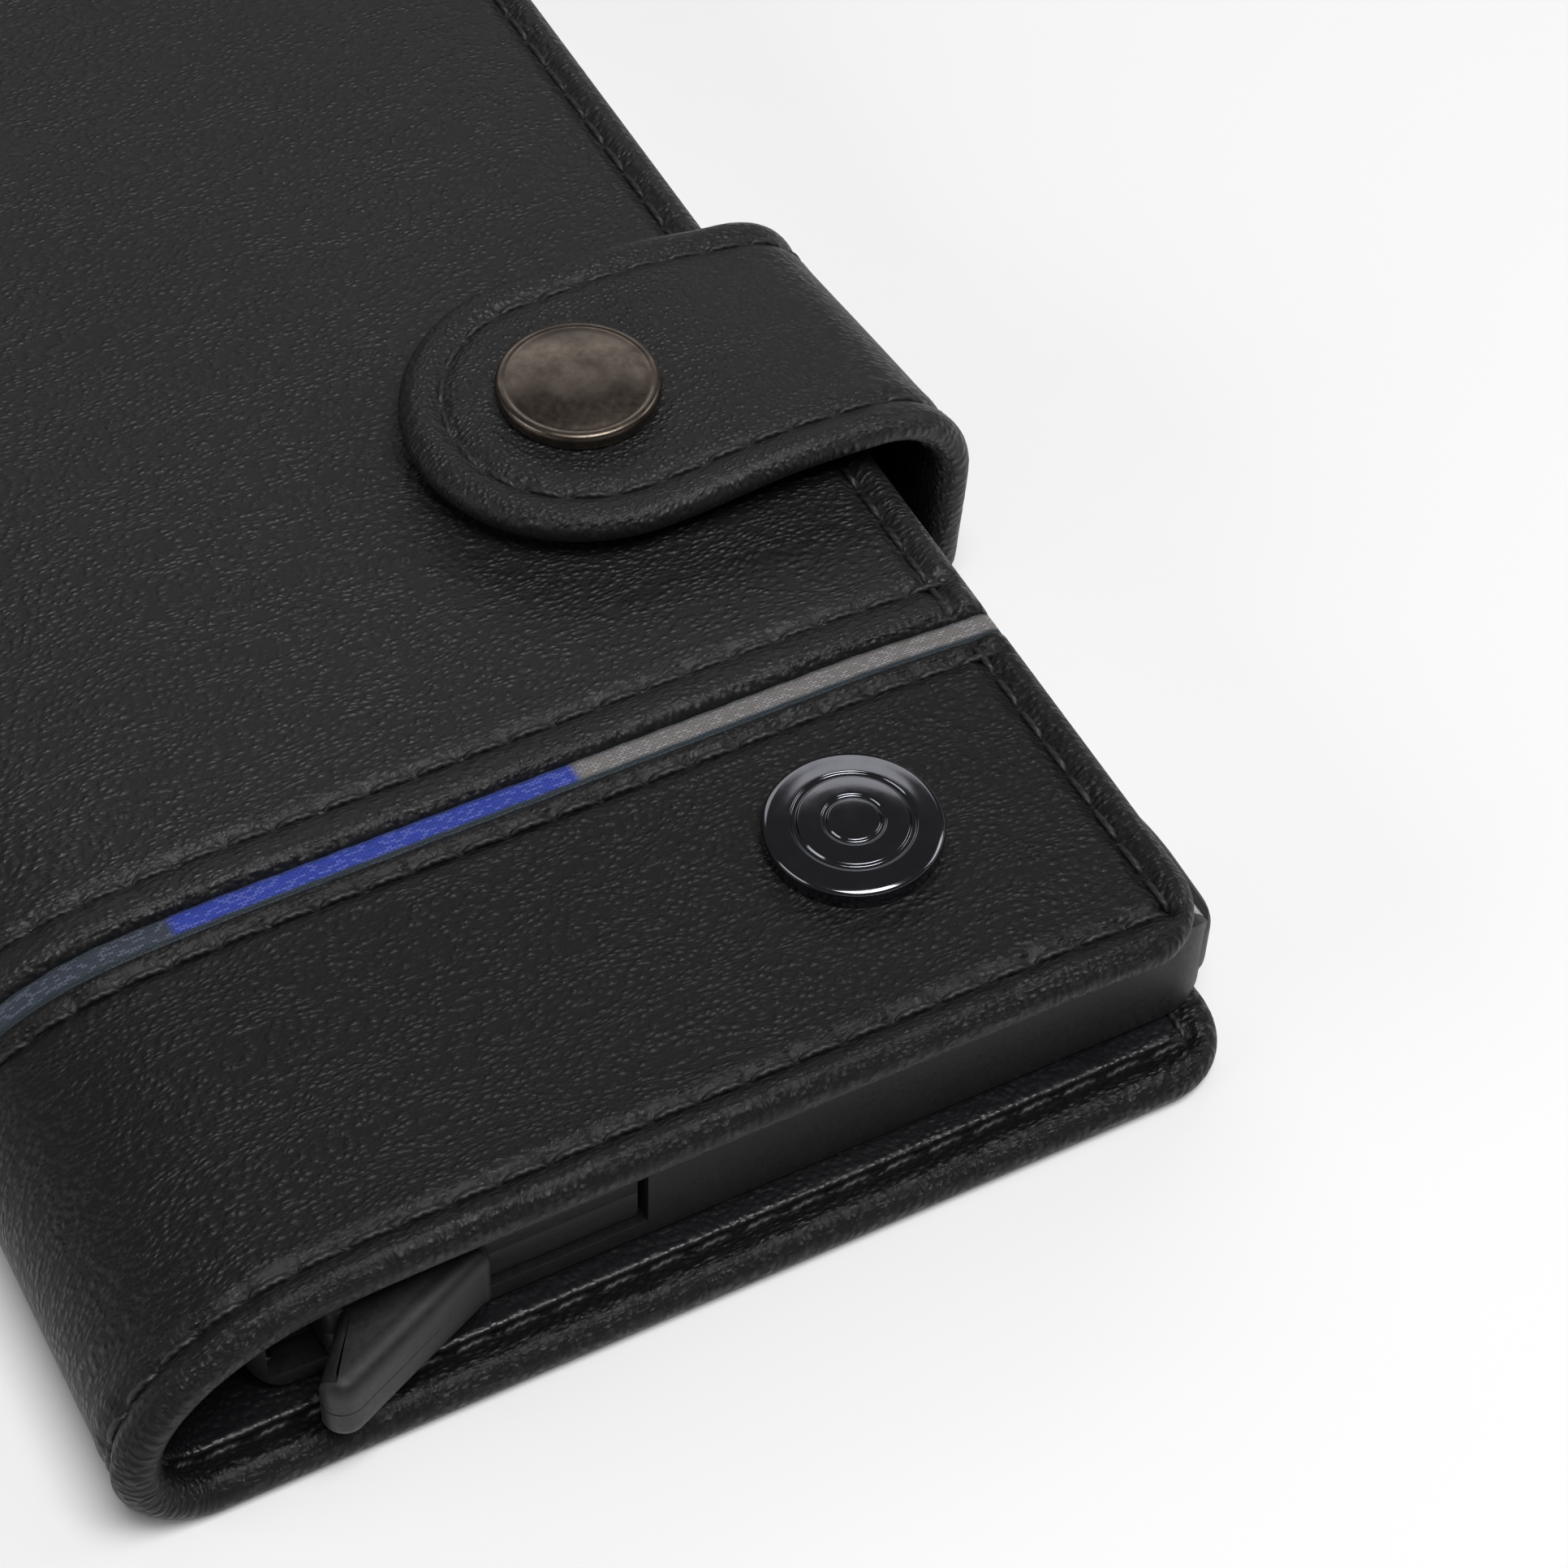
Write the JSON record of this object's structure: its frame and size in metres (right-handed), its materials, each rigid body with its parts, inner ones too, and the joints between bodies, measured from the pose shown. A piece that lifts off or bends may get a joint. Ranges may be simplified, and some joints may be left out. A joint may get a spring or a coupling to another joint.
{
  "type": "wallet with card case",
  "caption": "Folding leather wallet round a slim metal card case, with a snap strap, a woven stripe, a round metal badge and a card-ejecting lever.",
  "frame": {"origin": "mid width of the closed wallet under the middle of its strap, on the flat underside that it rests on", "axes": "+X from the spine to the open edge, +Y along the spine from the lever end to the card mouth, +Z out of the front cover"},
  "size_m": [0.0747, 0.1136, 0.0196],
  "materials": {
    "outer_leather": "black fine-pebbled leather, satin",
    "inner_leather": "smooth black leather, slightly glossy",
    "board": "fibre board",
    "thread": "black bonded thread",
    "case_metal": "fine satin anodised",
    "case_plastic": "charcoal, fine texture",
    "lever_plastic": "charcoal, fine texture",
    "guide": "matte",
    "pad": "adhesive foam",
    "steel": "plain",
    "ribbon": "woven ribbon, blue to warm grey",
    "dark_chrome": "polished black chrome",
    "antique_metal": "antique brown gunmetal, satin",
    "snap_metal": "dark nickel"
  },
  "bodies": {
    "back": {"back_leather": "outer_leather", "back_board": "board", "back_lining": "inner_leather", "back_stitching": "thread", "spine_leather": "outer_leather", "spine_lining": "inner_leather", "case_shell": "case_metal", "case_end_cap": "case_plastic", "case_pad": "pad", "guide_left": "guide", "guide_right": "guide", "lever_pin": "steel", "strap_loop": "outer_leather", "strap_tongue": "inner_leather"},
    "lever": {"eject_lever": "lever_plastic"},
    "cover": {"front_panel": "outer_leather", "front_band": "outer_leather", "woven_stripe": "ribbon", "front_board": "board", "front_lining": "inner_leather", "pocket_panel": "inner_leather", "edge_stitching": "thread", "fold_stitching": "thread", "band_stitching": "thread", "badge": "dark_chrome", "badge_washer": "steel", "snap_stud": "snap_metal", "stud_washer": "steel"},
    "strap": {"strap_leather": "outer_leather", "strap_lining": "inner_leather", "strap_stitching": "thread", "snap_cap": "antique_metal", "snap_socket": "snap_metal"}
  },
  "joints": [
    {"name": "strap_swing", "type": "hinge", "parent": "back", "child": "strap", "pos_m": [0.0382, 0, 0.006], "axis": [0, 1, 0], "range_deg": [0, 135], "deforming": ["strap_loop"]},
    {"name": "cover_open", "type": "hinge", "parent": "back", "child": "cover", "pos_m": [-0.03, 0, 0.007], "axis": [0, -1, 0], "range_deg": [0, 24.3], "deforming": ["spine_leather", "spine_lining"]},
    {"name": "lever_push", "type": "hinge", "parent": "back", "child": "lever", "pos_m": [0.0294, -0.0436, 0.0066], "axis": [0, 0, -1], "range_deg": [0, 14]}
  ],
  "couplings": [
    {"joint": "cover_open", "follows": "strap_swing", "ratio": 0.18}
  ]
}
